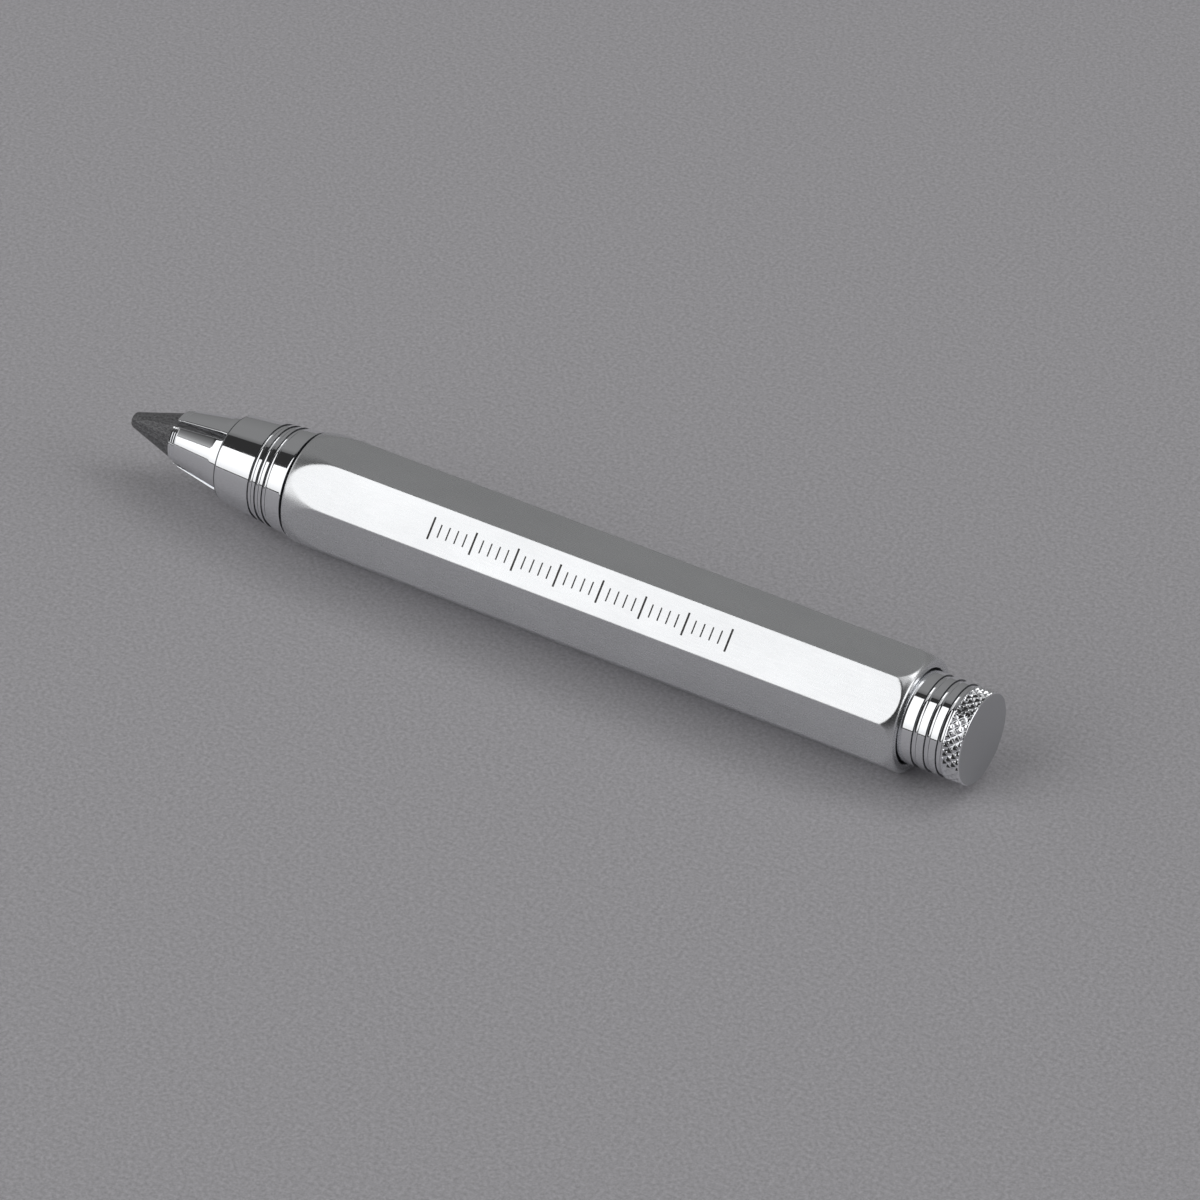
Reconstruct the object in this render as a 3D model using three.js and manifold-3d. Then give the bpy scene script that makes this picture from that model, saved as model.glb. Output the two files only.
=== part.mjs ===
// A clutch pencil for thick drawing leads, lying on one flat of its eight-sided barrel.
// Sizes are in millimetres. Every piece is laid out by its station, the distance along the pencil
// from the lead's tip, and by its radius about the pencil's axis. The finished group is then moved
// so that its origin is under the middle of the pencil, on the surface that it lies on.

import * as THREE from "three";
import { mergeVertices } from "three/addons/utils/BufferGeometryUtils.js";
import Module from "manifold-3d";

const wasm = await Module();
wasm.setup();

// Overall size
const LENGTH = 101.4;
const ACROSS_FLATS = 12;
const AXIS_HEIGHT = ACROSS_FLATS / 2;

// Lead
const LEAD_RADIUS = 2.8;
const LEAD_LENGTH = 80;
const LEAD_SLOPE = 0.3;
const LEAD_TIP_RADIUS = 0.82;
const LEAD_BLUNT_LENGTH = 0.16;
const LEAD_BLUNT_DROP = 0.22;

// Clutch jaws
const JAW_COUNT = 4;
const JAW_LIP = 6.3;
const JAW_ROOT = 19;
const JAW_BORE = 2.95;
const JAW_NECK_RADIUS = 3.52;
const JAW_HEAD_RADIUS = 4.1;
const JAW_HEAD_FRONT = 12.15;
const JAW_HEAD_REAR = 12.9;
const JAW_CONE_REAR = 16.1;
const JAW_EDGE_LENGTH = 0.25;
const JAW_EDGE_DROP = 0.04;
const LIP_LENGTH = 0.9;
const LIP_RISE = 0.25;
const LIP_EDGE = 0.05;
const SLIT_WIDTH = 0.75;
const SLIT_ANGLE = THREE.MathUtils.degToRad(25.5);
const TOOTH_COUNT = 8;
const TOOTH_INSET = 0.35;
const TOOTH_PITCH = 0.6;
const TOOTH_DEPTH = 0.18;
const TOOTH_CREST = 2.84;

// Nose sleeve
const NOSE_MOUTH = 13.15;
const NOSE_REAR = 22.15;
const NOSE_SLOPE = 0.1123;
const NOSE_MOUTH_RADIUS = 4.73;
const NOSE_GROOVES = [18.1, 19.03, 19.97];
const NOSE_GROOVE_WIDTH = 0.66;
const NOSE_GROOVE_DEPTH = 0.28;
const NOSE_BEVEL = 0.2;
const GROOVE_FLOOR_SHARE = 0.45;
const NOSE_SEAT_RADIUS = 4.13;
const NOSE_THROAT_START = 15.6;
const NOSE_THROAT_END = 16.4;
const NOSE_THROAT_RADIUS = 3.7;
const NOSE_BORE_START = 17.2;
const NOSE_BORE = 4.3;
const SPIGOT_RADIUS = 4.85;
const SPIGOT_END = 30.5;

// Barrel
const BARREL_FRONT = 22.45;
const BARREL_REAR = 94.55;
const CORNER_ROUND = 0.35;
const COUNTERBORE_RADIUS = 4.95;
const MAIN_BORE = 4.4;
const REAR_BORE = 5.05;
const REAR_BORE_START = 81.5;
const FRONT_SHOULDER_RADIUS = 30;
const FRONT_SHOULDER_END = 28.46;
const FRONT_SHOULDER_REACH = 5;
const REAR_SHOULDER_RADIUS = 3;
const REAR_SHOULDER_START = 92.6;
const EDGE_BREAK = 0.12;
const BAR_SPARE = 1;

// Clearances: round a fitted piece, between touching faces, before a shoulder and before a seat
const FIT_GAP = 0.03;
const REST_GAP = 0.05;
const END_GAP = 0.1;
const SHOULDER_GAP = 0.15;
const SLIDING_GAP = 0.2;

// Clutch tube and spring
const TUBE_RADIUS = 3.4;
const TUBE_BORE = 2.95;
const TUBE_FRONT = 24.5;
const TUBE_REAR = 91;
const SPRING_WIRE = 0.25;
const SPRING_RADIUS = 3.92;
const SPRING_TURNS = 11;
const SPRING_FRONT = 31.35;
const COLLAR_FRONT = 62.8;
const COLLAR_REAR = 64.8;
const COLLAR_RADIUS = 4.25;
const WASHER_THICKNESS = 0.6;
const WASHER_RADIUS = 4.35;
const SPRING_REAR = COLLAR_FRONT - WASHER_THICKNESS - 2 * REST_GAP;
const RING_WIDTH = 0.6;
const RING_RADIUS = 4.05;
const RING_SEAT_DEPTH = 0.2;
const RING_SEAT_FRONT = COLLAR_REAR + END_GAP;
const RING_OPENING = 2.4;
const GUIDE_FRONT = 70.5;
const GUIDE_REAR = 74.5;
const SOCKET_LENGTH = 5.5;
const SOCKET_RADIUS = 4;
const SOCKET_FLARE = 0.4;

// Push button and the lead pointer in it
const BUTTON_RADIUS = 4.85;
const BUTTON_FRONT = 87.5;
const BUTTON_SKIRT_BORE = 4.15;
const BUTTON_GROOVES = [96.3, 97.7, 99.05];
const BUTTON_GROOVE_WIDTH = 0.7;
const BUTTON_GROOVE_DEPTH = 0.32;
const BUTTON_BEVEL = 0.15;
const POINTER_FRONT = 93.4;
const POINTER_REAR = 100.1;
const POINTER_RADIUS = 3.9;
const POINTER_SLOT = 0.6;
const POINTER_SOLID_END = 1.2;
const POINTER_RING_WIDTH = 0.6;
const POINTER_RING_BORE = 3.3;
const THREAD_PITCH = 0.7;
const THREAD_DEPTH = 0.25;
const THREAD_LENGTH = 3;
const THREAD_COUNT = 4;
const THREAD_INSET = 0.5;

const ROUND = 48;
const SMALL_ROUND = 32;

// ---- shape helpers ----

// A solid of revolution about +X from an outline of [station, radius] points. An outline that
// starts on the axis is solid there; any other outline closes on itself.
function revolve(outline, segments = ROUND) {
  const points = outline.map(([station, radius]) => new THREE.Vector2(radius, station));
  if (THREE.ShapeUtils.area(points) < 0) {
    points.reverse();
  }
  if (outline[0][1] > 0) {
    points.push(points[0].clone());
  }
  const geometry = new THREE.LatheGeometry(points, segments);
  geometry.rotateZ(-Math.PI / 2);
  return geometry;
}

// A plain ring between two stations and two radii.
function ring(front, rear, inner, outer, segments = SMALL_ROUND) {
  return revolve([[front, inner], [front, outer], [rear, outer], [rear, inner]], segments);
}

// Points of an outline's round stretch, from one angle to another about [station, radius].
function arc([station, radius], size, from, to, steps) {
  return Array.from({ length: steps + 1 }, (_, i) => {
    const angle = from + ((to - from) * i) / steps;
    return [station + size * Math.cos(angle), radius + size * Math.sin(angle)];
  });
}

// The four points of one groove with sloping sides, cut into a surface given as radius(station).
function groove(middle, width, depth, radius) {
  const half = width / 2;
  const floor = half * GROOVE_FLOOR_SHARE;
  return [
    [middle - half, radius(middle - half)],
    [middle - floor, radius(middle) - depth],
    [middle + floor, radius(middle) - depth],
    [middle + half, radius(middle + half)],
  ];
}

function toManifold(geometry) {
  const bare = geometry.clone();
  bare.deleteAttribute("normal");
  bare.deleteAttribute("uv");
  const merged = mergeVertices(bare, 1e-5);
  const corners = merged.index.array;
  const triangles = [];
  for (let i = 0; i < corners.length; i += 3) {
    const [a, b, c] = [corners[i], corners[i + 1], corners[i + 2]];
    if (a !== b && b !== c && c !== a) {
      triangles.push(a, b, c);
    }
  }
  return new wasm.Manifold(new wasm.Mesh({
    numProp: 3,
    vertProperties: Float32Array.from(merged.attributes.position.array),
    triVerts: Uint32Array.from(triangles),
  }));
}

function fromManifold(solid) {
  const mesh = solid.getMesh();
  const geometry = new THREE.BufferGeometry();
  geometry.setAttribute("position", new THREE.BufferAttribute(mesh.vertProperties, 3));
  geometry.setIndex(new THREE.BufferAttribute(mesh.triVerts, 1));
  const flat = geometry.toNonIndexed();
  flat.computeVertexNormals();
  return flat;
}

// ---- materials ----

function metal(colour, roughness) {
  return () => new THREE.MeshStandardMaterial({ color: colour, roughness, metalness: 1 });
}

const satinChrome = metal(0xc4c6c9, 0.34);
const polishedChrome = metal(0xdcdee2, 0.07);
const brass = metal(0xc9a24e, 0.32);
const springSteel = metal(0x9b9ea3, 0.25);
const toolSteel = metal(0x6f7276, 0.35);
const graphite = () => new THREE.MeshStandardMaterial({ color: 0x3b3b3d, roughness: 0.45, metalness: 0.3 });

function piece(name, geometry, material) {
  const mesh = new THREE.Mesh(geometry, material());
  mesh.name = name;
  return mesh;
}

// ---- barrel ----

// The eight-sided section, with flats below, above and at the sides and slightly rounded corners.
function octagon() {
  const eighth = Math.PI / 4;
  const centre = (ACROSS_FLATS / 2 - CORNER_ROUND) / Math.cos(eighth / 2);
  const steps = 3;
  const points = [];
  for (let corner = 0; corner < 8; corner++) {
    const direction = (corner + 0.5) * eighth;
    for (let step = 0; step <= steps; step++) {
      const angle = direction + eighth * (step / steps - 0.5);
      points.push(new THREE.Vector2(
        centre * Math.cos(direction) + CORNER_ROUND * Math.cos(angle),
        centre * Math.sin(direction) + CORNER_ROUND * Math.sin(angle),
      ));
    }
  }
  return new THREE.Shape(points);
}

// The turned outline that rounds off both ends of the octagon, with the stepped bore inside it.
function turnedEnvelope() {
  const full = ACROSS_FLATS / 2 / Math.cos(Math.PI / 8);
  const up = Math.PI / 2;
  const frontSweep = Math.asin(FRONT_SHOULDER_REACH / FRONT_SHOULDER_RADIUS);
  const front = arc([FRONT_SHOULDER_END, full - FRONT_SHOULDER_RADIUS], FRONT_SHOULDER_RADIUS,
    up + frontSweep, up, 6);
  const frontRise = Math.tan(frontSweep) * (front[0][0] - BARREL_FRONT);
  const rearSweep = Math.asin((BARREL_REAR - REAR_SHOULDER_START) / REAR_SHOULDER_RADIUS);
  const rear = arc([REAR_SHOULDER_START, full - REAR_SHOULDER_RADIUS], REAR_SHOULDER_RADIUS,
    up, up - rearSweep, 5);
  return [
    [BARREL_FRONT, COUNTERBORE_RADIUS],
    [BARREL_FRONT, front[0][1] - frontRise - EDGE_BREAK],
    [BARREL_FRONT + EDGE_BREAK, front[0][1] - frontRise],
    ...front,
    ...rear,
    [BARREL_REAR, REAR_BORE + EDGE_BREAK],
    [BARREL_REAR - EDGE_BREAK, REAR_BORE],
    [REAR_BORE_START, REAR_BORE],
    [REAR_BORE_START, MAIN_BORE],
    [SPIGOT_END + SHOULDER_GAP, MAIN_BORE],
    [SPIGOT_END + SHOULDER_GAP, COUNTERBORE_RADIUS],
  ];
}

function barrel() {
  const bar = new THREE.ExtrudeGeometry(octagon(), {
    depth: BARREL_REAR - BARREL_FRONT + 2 * BAR_SPARE,
    bevelEnabled: false,
  });
  bar.rotateY(Math.PI / 2);
  bar.translate(BARREL_FRONT - BAR_SPARE, 0, 0);
  return fromManifold(toManifold(bar).intersect(toManifold(revolve(turnedEnvelope(), 64))));
}

// ---- nose sleeve ----

function noseSleeve() {
  const surface = (station) => NOSE_MOUTH_RADIUS + NOSE_SLOPE * (station - NOSE_MOUTH);
  const grooves = NOSE_GROOVES.flatMap(
    (middle) => groove(middle, NOSE_GROOVE_WIDTH, NOSE_GROOVE_DEPTH, surface));
  return revolve([
    [NOSE_MOUTH, NOSE_SEAT_RADIUS],
    [NOSE_MOUTH, NOSE_MOUTH_RADIUS - NOSE_BEVEL],
    [NOSE_MOUTH + NOSE_BEVEL, surface(NOSE_MOUTH + NOSE_BEVEL)],
    ...grooves,
    [NOSE_REAR - NOSE_BEVEL, surface(NOSE_REAR - NOSE_BEVEL)],
    [NOSE_REAR, surface(NOSE_REAR) - NOSE_BEVEL],
    [NOSE_REAR, SPIGOT_RADIUS],
    [SPIGOT_END, SPIGOT_RADIUS],
    [SPIGOT_END, NOSE_BORE],
    [NOSE_BORE_START, NOSE_BORE],
    [NOSE_THROAT_END, NOSE_THROAT_RADIUS],
    [NOSE_THROAT_START, NOSE_THROAT_RADIUS],
  ]);
}

// ---- clutch ----

// The whole ring of the clutch's head before it is slit: a cone in front, the land, and the
// clamping cone that the nose sleeve squeezes. Thread-like teeth inside grip the lead.
function clutchHead() {
  const firstTooth = JAW_LIP + TOOTH_INSET;
  const teeth = Array.from({ length: TOOTH_COUNT }, (_, i) => {
    const rear = firstTooth + TOOTH_PITCH * (TOOTH_COUNT - i);
    return [
      [rear, TOOTH_CREST],
      [rear - TOOTH_PITCH / 2, TOOTH_CREST + TOOTH_DEPTH],
    ];
  }).flat();
  return revolve([
    [JAW_LIP, JAW_BORE - LIP_EDGE],
    [JAW_LIP, JAW_BORE],
    [JAW_LIP + LIP_LENGTH, JAW_BORE + LIP_RISE],
    [JAW_HEAD_FRONT - JAW_EDGE_LENGTH, JAW_HEAD_RADIUS - JAW_EDGE_DROP],
    [JAW_HEAD_FRONT, JAW_HEAD_RADIUS],
    [JAW_HEAD_REAR, JAW_HEAD_RADIUS],
    [JAW_CONE_REAR, JAW_NECK_RADIUS],
    [JAW_ROOT, JAW_NECK_RADIUS],
    [JAW_ROOT, JAW_BORE],
    ...teeth,
    [firstTooth, TOOTH_CREST],
  ]);
}

// One jaw: the quarter of the head that lies clear of both slits, with straight-sided cuts.
function jaw() {
  const side = 10;
  const quarter = new THREE.BoxGeometry(2 * JAW_ROOT, side, side);
  quarter.translate(JAW_ROOT, (side + SLIT_WIDTH) / 2, (side + SLIT_WIDTH) / 2);
  return fromManifold(toManifold(clutchHead()).intersect(toManifold(quarter)));
}

function jawGroup(index) {
  const group = new THREE.Group();
  group.rotation.x = SLIT_ANGLE + (index * 2 * Math.PI) / JAW_COUNT;
  group.add(piece(`collet_jaw_${index + 1}`, jaw(), polishedChrome));
  return group;
}

// Carries the jaws, and widens at the rear into a socket for the inner tube.
function colletBody() {
  const socket = TUBE_FRONT - END_GAP;
  const flare = socket - END_GAP;
  return revolve([
    [JAW_ROOT + SHOULDER_GAP, JAW_BORE],
    [JAW_ROOT + SHOULDER_GAP, JAW_NECK_RADIUS],
    [flare - SOCKET_FLARE, JAW_NECK_RADIUS],
    [flare, SOCKET_RADIUS],
    [socket + SOCKET_LENGTH, SOCKET_RADIUS],
    [socket + SOCKET_LENGTH, TUBE_RADIUS + FIT_GAP],
    [socket, TUBE_RADIUS + FIT_GAP],
    [socket, JAW_BORE],
  ], SMALL_ROUND);
}

// The tube that holds the lead, with a groove for the retaining ring.
function innerTube() {
  const seatRear = RING_SEAT_FRONT + RING_WIDTH + END_GAP;
  return revolve([
    [TUBE_FRONT, TUBE_BORE],
    [TUBE_FRONT, TUBE_RADIUS],
    [RING_SEAT_FRONT, TUBE_RADIUS],
    [RING_SEAT_FRONT, TUBE_RADIUS - RING_SEAT_DEPTH],
    [seatRear, TUBE_RADIUS - RING_SEAT_DEPTH],
    [seatRear, TUBE_RADIUS],
    [TUBE_REAR, TUBE_RADIUS],
    [TUBE_REAR, TUBE_BORE],
  ], SMALL_ROUND);
}

function lead() {
  const coneEnd = (LEAD_RADIUS - LEAD_TIP_RADIUS) / LEAD_SLOPE;
  return revolve([
    [0, 0],
    [0, LEAD_TIP_RADIUS - LEAD_BLUNT_DROP],
    [LEAD_BLUNT_LENGTH, LEAD_TIP_RADIUS + LEAD_SLOPE * LEAD_BLUNT_LENGTH],
    [coneEnd, LEAD_RADIUS],
    [LEAD_LENGTH, LEAD_RADIUS],
    [LEAD_LENGTH, 0],
  ]);
}

class Coil extends THREE.Curve {
  getPoint(t, target = new THREE.Vector3()) {
    const angle = 2 * Math.PI * SPRING_TURNS * t;
    const inset = SPRING_WIRE + REST_GAP;
    const run = SPRING_REAR - SPRING_FRONT - 2 * inset;
    return target.set(
      SPRING_FRONT + inset + run * t,
      SPRING_RADIUS * Math.cos(angle),
      SPRING_RADIUS * Math.sin(angle),
    );
  }
}

function returnSpring() {
  const wire = new THREE.Shape();
  wire.absarc(0, 0, SPRING_WIRE, 0, 2 * Math.PI, false);
  return new THREE.ExtrudeGeometry(wire, {
    steps: SPRING_TURNS * 12,
    curveSegments: 4,
    extrudePath: new Coil(),
    bevelEnabled: false,
  });
}

// An open ring that snaps into the tube's groove.
function retainingRing() {
  const front = RING_SEAT_FRONT + REST_GAP;
  const bore = TUBE_RADIUS - RING_SEAT_DEPTH + FIT_GAP;
  const whole = ring(front, front + RING_WIDTH, bore, RING_RADIUS);
  const opening = new THREE.BoxGeometry(RING_RADIUS, RING_RADIUS, RING_OPENING);
  opening.translate(front, RING_RADIUS, 0);
  return fromManifold(toManifold(whole).subtract(toManifold(opening)));
}

// ---- push button ----

function pushButton() {
  const wall = () => BUTTON_RADIUS;
  const grooves = BUTTON_GROOVES.flatMap(
    (middle) => groove(middle, BUTTON_GROOVE_WIDTH, BUTTON_GROOVE_DEPTH, wall));
  return revolve([
    [LENGTH, 0],
    [LENGTH, BUTTON_RADIUS - BUTTON_BEVEL],
    [LENGTH - BUTTON_BEVEL, BUTTON_RADIUS],
    ...grooves.reverse(),
    [BUTTON_FRONT + EDGE_BREAK, BUTTON_RADIUS],
    [BUTTON_FRONT, BUTTON_RADIUS - EDGE_BREAK],
    [BUTTON_FRONT, BUTTON_SKIRT_BORE],
    [POINTER_FRONT - END_GAP, BUTTON_SKIRT_BORE],
    [POINTER_FRONT - END_GAP, POINTER_RADIUS + FIT_GAP],
    [POINTER_REAR + END_GAP, POINTER_RADIUS + FIT_GAP],
    [POINTER_REAR + END_GAP, 0],
  ]);
}

// The threaded end of the inner tube, which the button's skirt screws onto.
function tubeEndBush() {
  const front = BUTTON_FRONT + THREAD_INSET;
  const crest = BUTTON_SKIRT_BORE - FIT_GAP;
  const threads = Array.from({ length: THREAD_COUNT }, (_, i) => {
    const start = front + EDGE_BREAK + THREAD_PITCH * i;
    return [
      [start, crest],
      [start + THREAD_PITCH / 2, crest - THREAD_DEPTH],
    ];
  }).flat();
  return revolve([
    [front, TUBE_RADIUS + FIT_GAP],
    [front, crest - EDGE_BREAK],
    ...threads,
    [front + THREAD_LENGTH, crest],
    [front + THREAD_LENGTH, TUBE_RADIUS + FIT_GAP],
  ], SMALL_ROUND);
}

// A steel insert with a cone the shape of a sharpened lead and two slots whose edges cut.
function leadPointer() {
  const depth = POINTER_REAR - POINTER_FRONT;
  const blank = revolve([
    [POINTER_FRONT, TUBE_BORE],
    [POINTER_FRONT, POINTER_RADIUS],
    [POINTER_REAR, POINTER_RADIUS],
    [POINTER_REAR, TUBE_BORE - LEAD_SLOPE * depth],
  ], SMALL_ROUND);
  const slotLength = depth - POINTER_SOLID_END;
  const slots = new THREE.BoxGeometry(2 * slotLength, 3 * POINTER_RADIUS, POINTER_SLOT);
  slots.translate(POINTER_FRONT, 0, 0);
  return fromManifold(toManifold(blank).subtract(toManifold(slots)));
}

// Holds the pointer in the button.
function pointerRing() {
  const rear = POINTER_FRONT - END_GAP - FIT_GAP;
  return ring(rear - POINTER_RING_WIDTH, rear, POINTER_RING_BORE, BUTTON_SKIRT_BORE - FIT_GAP);
}

// ---- small rings inside the barrel ----

// The spring bears on a washer at each end. Each is given by its rear face.
function springWasher(rear) {
  return ring(rear - WASHER_THICKNESS, rear, TUBE_RADIUS + SLIDING_GAP, WASHER_RADIUS);
}

function springCollar() {
  return ring(COLLAR_FRONT, COLLAR_REAR, TUBE_RADIUS + FIT_GAP, COLLAR_RADIUS);
}

function guideBush() {
  return ring(GUIDE_FRONT, GUIDE_REAR, TUBE_RADIUS + REST_GAP, MAIN_BORE - FIT_GAP);
}

// ---- assembly ----

const clutch = new THREE.Group();
for (let index = 0; index < JAW_COUNT; index++) {
  clutch.add(jawGroup(index));
}
clutch.add(
  piece("collet_body", colletBody(), brass),
  piece("inner_tube", innerTube(), brass),
  piece("rear_spring_washer", springWasher(COLLAR_FRONT - REST_GAP), springSteel),
  piece("spring_collar", springCollar(), brass),
  piece("retaining_ring", retainingRing(), springSteel),
  piece("tube_end_bush", tubeEndBush(), brass),
  piece("lead", lead(), graphite),
);

const button = new THREE.Group();
button.add(
  piece("push_button", pushButton(), polishedChrome),
  piece("lead_pointer", leadPointer(), toolSteel),
  piece("pointer_ring", pointerRing(), springSteel),
);

const pencil = new THREE.Group();
pencil.add(
  piece("barrel", barrel(), satinChrome),
  piece("front_sleeve", noseSleeve(), polishedChrome),
  piece("front_spring_washer", springWasher(SPRING_FRONT - REST_GAP), springSteel),
  piece("return_spring", returnSpring(), springSteel),
  piece("rear_guide_bush", guideBush(), brass),
  clutch,
  button,
);
pencil.position.set(-LENGTH / 2, 0, AXIS_HEIGHT);

const part = new THREE.Group();
part.name = "lead_holder";
part.add(pencil);

export default part;
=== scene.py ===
import math

import bmesh
import bpy
from mathutils import Matrix, Vector


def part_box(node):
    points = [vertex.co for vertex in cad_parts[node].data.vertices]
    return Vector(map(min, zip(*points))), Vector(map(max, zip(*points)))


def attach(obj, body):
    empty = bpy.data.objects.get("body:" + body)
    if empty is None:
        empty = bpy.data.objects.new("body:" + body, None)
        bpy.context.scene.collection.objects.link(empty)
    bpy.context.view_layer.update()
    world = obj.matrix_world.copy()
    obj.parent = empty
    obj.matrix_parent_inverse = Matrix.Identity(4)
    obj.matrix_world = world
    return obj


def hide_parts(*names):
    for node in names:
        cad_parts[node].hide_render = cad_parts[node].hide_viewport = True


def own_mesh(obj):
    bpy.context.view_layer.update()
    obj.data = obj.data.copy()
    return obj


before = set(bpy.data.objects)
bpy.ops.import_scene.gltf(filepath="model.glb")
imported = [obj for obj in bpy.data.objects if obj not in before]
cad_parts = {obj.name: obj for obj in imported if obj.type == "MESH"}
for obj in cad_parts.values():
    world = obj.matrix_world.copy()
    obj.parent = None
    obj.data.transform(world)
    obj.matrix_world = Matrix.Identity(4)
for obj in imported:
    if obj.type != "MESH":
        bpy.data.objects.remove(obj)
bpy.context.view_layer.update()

# A clutch pencil lying on one flat of its eight-sided barrel. The pieces are built in millimetres:
# x runs along the pencil in the row frame, and r is the distance from the pencil's axis.

MM = 0.001
TURN = 2 * math.pi


def span(node):
    """First and last x of a CAD node, in millimetres."""
    low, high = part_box(node)
    return low.x / MM, high.x / MM


def widest(node):
    """Largest radius of a round CAD node about the pencil's axis, in millimetres."""
    low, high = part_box(node)
    return (high.y - low.y) / 2 / MM


BARREL_LOW, BARREL_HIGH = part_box("barrel")
AXIS_Z = (BARREL_LOW.z + BARREL_HIGH.z) / 2
APOTHEM = (BARREL_HIGH.y - BARREL_LOW.y) / 2 / MM
CORNER = math.radians(22.5)
CORNER_ROUND = 0.35
CORNER_RADIUS = APOTHEM / math.cos(CORNER)
BARREL_FRONT, BARREL_REAR = span("barrel")
LEAD_TIP, LEAD_REAR = span("lead")
NOSE_MOUTH, SPIGOT_END = span("front_sleeve")
JAW_LIP, JAW_ROOT = span("collet_jaw_1")
BODY_FRONT, BODY_REAR = span("collet_body")
TUBE_FRONT, TUBE_REAR = span("inner_tube")
BUTTON_FRONT, BUTTON_END = span("push_button")
POINTER_FRONT, POINTER_REAR = span("lead_pointer")

LEAD_RADIUS = widest("lead")
TUBE_RADIUS = widest("inner_tube")
BUTTON_RADIUS = widest("push_button")
SPIGOT_RADIUS = 4.85
TUBE_BORE = 2.95
JAW_NECK = 3.52
MAIN_BORE = 4.4
REAR_BORE = 5.05
SEAT_BORE = 4.95
SKIRT_BORE = 4.15
SLIT_WIDTH = 0.75
SLIT_ANGLE = math.radians(25.5)

FINE = 192
MEDIUM = 96
KNURL_STARTS = 30
KNURL_STEPS = 16
KNURL_PITCH = 1.0
KNURL_DEPTH = 0.27
KNURL_CREST = 0.85
KNURL_FADE = 0.06
KNURL_FRONT = BUTTON_END - 1.9
KNURL_REAR = BUTTON_END - 0.09
THREAD_PITCH = 0.7

TICK_COUNT = 36
TICKS_START = BARREL_FRONT + 17.5
LONG_TICK_EVERY = 5
LONG_TICK = (2.4, 0.11)
SHORT_TICK = (1.4, 0.075)

NOSE_SLOPE = 0.1123
NOSE_MOUTH_RADIUS = 4.73
NOSE_MOUTH_EDGE = 0.36
NOSE_GROOVES = [NOSE_MOUTH + offset for offset in (4.95, 5.88, 6.82)]
BUTTON_GROOVES = [BUTTON_END - offset for offset in (5.1, 3.7, 2.35)]

LIP_LENGTH = 0.9
LIP_RIDGES = 3
LIP_RIDGE_DEPTH = 0.08
JAW_TEETH_START = JAW_LIP + 0.35
JAW_TEETH = 8
JAW_TOOTH_PITCH = 0.6

SPRING_WIRE = 0.25
SPRING_RADIUS = 3.92
SPRING_TURNS = 11
CLOSED_TURNS = 1.4
CLOSED_SHARE = 0.045

LENS = 181.43
CAMERA_PLACE = Vector((0.26063, -0.41073, 0.37883))
CAMERA_AIM = Vector((0.00669, 0, 0.00535))


# ---- outlines ----

def arc(x, r, size, start, end, steps):
    """Points of a round stretch of an outline, about (x, r), angles in degrees."""
    angles = [math.radians(start + (end - start) * i / steps) for i in range(steps + 1)]
    return [(x + size * math.cos(a), r + size * math.sin(a)) for a in angles]


def line(start, end, steps):
    """Evenly spaced points from start up to, but without, end."""
    return [tuple(a + (b - a) * i / steps for a, b in zip(start, end)) for i in range(steps)]


def soften(outline, size, steps=4):
    """Rounds the corners of a closed outline, by at most 45% of the sides beside each. Long sides
    also get a point near each end, so that they shade as straight."""
    soft = []
    for i, corner in enumerate(outline):
        corner = Vector(corner)
        sides = [Vector(outline[i - 1]) - corner, Vector(outline[(i + 1) % len(outline)]) - corner]
        reach = min([size] + [0.45 * side.length for side in sides])
        straight = sides[0].angle(-sides[1], 0) < math.radians(8)
        if corner.y < 1e-6 or straight or reach < 1e-4:
            soft.append(tuple(corner))
            continue
        before = corner + sides[0].normalized() * reach
        after = corner + sides[1].normalized() * reach
        if sides[0].length > 4 * reach:
            soft.append(tuple(corner + sides[0].normalized() * reach * 1.5))
        for step in range(steps + 1):
            t = step / steps
            point = before * (1 - t) ** 2 + corner * 2 * t * (1 - t) + after * t ** 2
            soft.append(tuple(point))
        if sides[1].length > 4 * reach:
            soft.append(tuple(corner + sides[1].normalized() * reach * 1.5))
    return soft


def grooves(middles, width, depth, radius, steps=12):
    """Round-bottomed grooves with crisp edges, in a surface given as radius(x). The points beside
    each groove keep the lands between them straight."""
    half, beside = width / 2, (0.025, 0.05)
    points = []
    for middle in middles:
        points += [(middle - half - gap, radius(middle - half - gap)) for gap in reversed(beside)]
        for step in range(steps + 1):
            offset = -half * math.cos(math.pi * step / steps)
            drop = depth * math.sin(math.pi * step / steps) ** 0.6
            points.append((middle + offset, radius(middle + offset) - drop))
        points += [(middle + half + gap, radius(middle + half + gap)) for gap in beside]
    return points


def tooth_wave(value):
    """A zigzag of period 1: 0 at whole numbers and 1 half way between them."""
    return 1 - abs(2 * (value % 1) - 1)


# ---- meshes ----

def grid_mesh(outline, angles, radius=None):
    """A surface of revolution over the given angles. radius(x, r, angle) may shape it further.
    An outline that starts on the axis is solid there, and any other closes on itself."""
    solid = outline[0][1] < 1e-6
    verts, rows = [], []
    for x, r in outline:
        if r < 1e-6:
            rows.append([len(verts)] * len(angles))
            verts.append((x, 0, 0))
            continue
        first = len(verts)
        rows.append(list(range(first, first + len(angles))))
        for angle in angles:
            reach = radius(x, r, angle) if radius else r
            verts.append((x, reach * math.cos(angle), reach * math.sin(angle)))
    faces = []
    pairs = zip(rows, rows[1:] + ([] if solid else rows[:1]))
    for lower, upper in pairs:
        for i in range(len(angles)):
            j = (i + 1) % len(angles)
            face = [lower[i], upper[i], upper[j], lower[j]]
            faces.append(list(dict.fromkeys(face)))
    return verts, faces


def even_angles(count):
    return [TURN * i / count for i in range(count)]


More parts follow.
